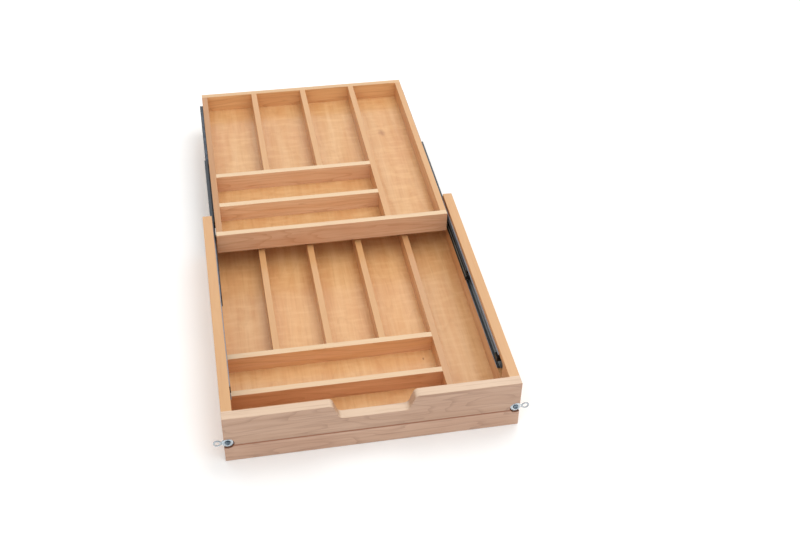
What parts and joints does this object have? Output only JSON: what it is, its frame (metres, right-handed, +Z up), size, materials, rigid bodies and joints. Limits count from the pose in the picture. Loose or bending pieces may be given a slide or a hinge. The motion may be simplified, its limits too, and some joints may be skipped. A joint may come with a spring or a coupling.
{
  "type": "two-tier cutlery drawer insert",
  "caption": "Wooden drawer insert with divided lower drawer, finger scoop and a divided upper tray that slides back over it on ball-bearing slides, with eye plates at the front corners.",
  "frame": {"origin": "middle of the bottom front edge of the drawer's front", "axes": "+X right as seen from the front, +Y from the drawer's front towards its back, +Z up"},
  "size_m": [0.5574, 1.037, 0.1044],
  "materials": {
    "maple": "satin lacquer",
    "maple_plywood": "satin lacquer",
    "dark_steel": "satin",
    "zinc_steel": "satin",
    "cage_steel": "satin",
    "ball_steel": "polished",
    "black_plastic": "matte",
    "bright_zinc": "bright",
    "screw_steel": "satin",
    "beech_dowel": "raw"
  },
  "bodies": {
    "drawer": {"drawer_front_upper_board": "maple", "drawer_front_lower_board": "maple", "drawer_side_left": "maple", "drawer_side_right": "maple", "drawer_back_rail": "maple", "drawer_bottom": "maple_plywood", "drawer_long_divider_1": "maple", "drawer_long_divider_2": "maple", "drawer_long_divider_3": "maple", "drawer_long_divider_4": "maple", "drawer_cross_divider_front": "maple", "drawer_cross_divider_rear": "maple", "slide_outer_member_left": "dark_steel", "slide_outer_member_right": "dark_steel", "slide_bumper_left": "black_plastic", "slide_bumper_right": "black_plastic", "outer_member_screws": "screw_steel", "eye_screws": "bright_zinc", "drawer_dowels": "beech_dowel", "drawer_bottom_brads": "screw_steel"},
    "tray": {"tray_front": "maple", "tray_back": "maple", "tray_side_left": "maple", "tray_side_right": "maple", "tray_bottom": "maple_plywood", "tray_long_divider_1": "maple", "tray_long_divider_2": "maple", "tray_long_divider_3": "maple", "tray_cross_divider_front": "maple", "tray_cross_divider_rear": "maple", "slide_inner_member_left": "zinc_steel", "slide_inner_member_right": "zinc_steel", "inner_member_screws": "screw_steel", "lever_rivets": "screw_steel", "tray_dowels": "beech_dowel", "tray_bottom_brads": "screw_steel"},
    "intermediate_left": {"slide_intermediate_member_left": "zinc_steel", "intermediate_nose_left": "black_plastic"},
    "outer_cage_left": {"outer_ball_cage_left": "cage_steel", "outer_balls_left": "ball_steel"},
    "inner_cage_left": {"inner_ball_cage_left": "cage_steel", "inner_balls_left": "ball_steel"},
    "eye_left": {"eye_plate_left": "bright_zinc"},
    "lever_left": {"release_lever_left": "black_plastic"},
    "intermediate_right": {"slide_intermediate_member_right": "zinc_steel", "intermediate_nose_right": "black_plastic"},
    "outer_cage_right": {"outer_ball_cage_right": "cage_steel", "outer_balls_right": "ball_steel"},
    "inner_cage_right": {"inner_ball_cage_right": "cage_steel", "inner_balls_right": "ball_steel"},
    "eye_right": {"eye_plate_right": "bright_zinc"},
    "lever_right": {"release_lever_right": "black_plastic"}
  },
  "joints": [
    {"name": "tray_slide", "type": "slide", "parent": "drawer", "child": "tray", "axis": [0, -1, 0], "range_m": [0, 0.4718]},
    {"name": "intermediate_slide_left", "type": "slide", "parent": "drawer", "child": "intermediate_left", "axis": [0, -1, 0], "range_m": [0, 0.2359]},
    {"name": "outer_cage_roll_left", "type": "slide", "parent": "drawer", "child": "outer_cage_left", "axis": [0, -1, 0], "range_m": [0, 0.11795]},
    {"name": "inner_cage_roll_left", "type": "slide", "parent": "drawer", "child": "inner_cage_left", "axis": [0, -1, 0], "range_m": [0, 0.35385]},
    {"name": "eye_swing_left", "type": "hinge", "parent": "drawer", "child": "eye_left", "pos_m": [-0.2538, 0.0035, 0.0425], "axis": [0, 1, 0], "range_deg": [-30, 30]},
    {"name": "lever_swing_left", "type": "hinge", "parent": "tray", "child": "lever_left", "pos_m": [-0.2395, 0.616, 0.075], "axis": [1, 0, 0], "range_deg": [-7, 7], "stiffness_Nm_per_rad": 0.01},
    {"name": "intermediate_slide_right", "type": "slide", "parent": "drawer", "child": "intermediate_right", "axis": [0, -1, 0], "range_m": [0, 0.2359]},
    {"name": "outer_cage_roll_right", "type": "slide", "parent": "drawer", "child": "outer_cage_right", "axis": [0, -1, 0], "range_m": [0, 0.11795]},
    {"name": "inner_cage_roll_right", "type": "slide", "parent": "drawer", "child": "inner_cage_right", "axis": [0, -1, 0], "range_m": [0, 0.35385]},
    {"name": "eye_swing_right", "type": "hinge", "parent": "drawer", "child": "eye_right", "pos_m": [0.2538, 0.0035, 0.0425], "axis": [0, 1, 0], "range_deg": [-30, 30]},
    {"name": "lever_swing_right", "type": "hinge", "parent": "tray", "child": "lever_right", "pos_m": [0.2395, 0.616, 0.075], "axis": [1, 0, 0], "range_deg": [-7, 7], "stiffness_Nm_per_rad": 0.01}
  ],
  "couplings": [
    {"joint": "intermediate_slide_left", "follows": "tray_slide", "ratio": 0.5},
    {"joint": "outer_cage_roll_left", "follows": "tray_slide", "ratio": 0.25},
    {"joint": "inner_cage_roll_left", "follows": "tray_slide", "ratio": 0.75},
    {"joint": "intermediate_slide_right", "follows": "tray_slide", "ratio": 0.5},
    {"joint": "outer_cage_roll_right", "follows": "tray_slide", "ratio": 0.25},
    {"joint": "inner_cage_roll_right", "follows": "tray_slide", "ratio": 0.75}
  ]
}
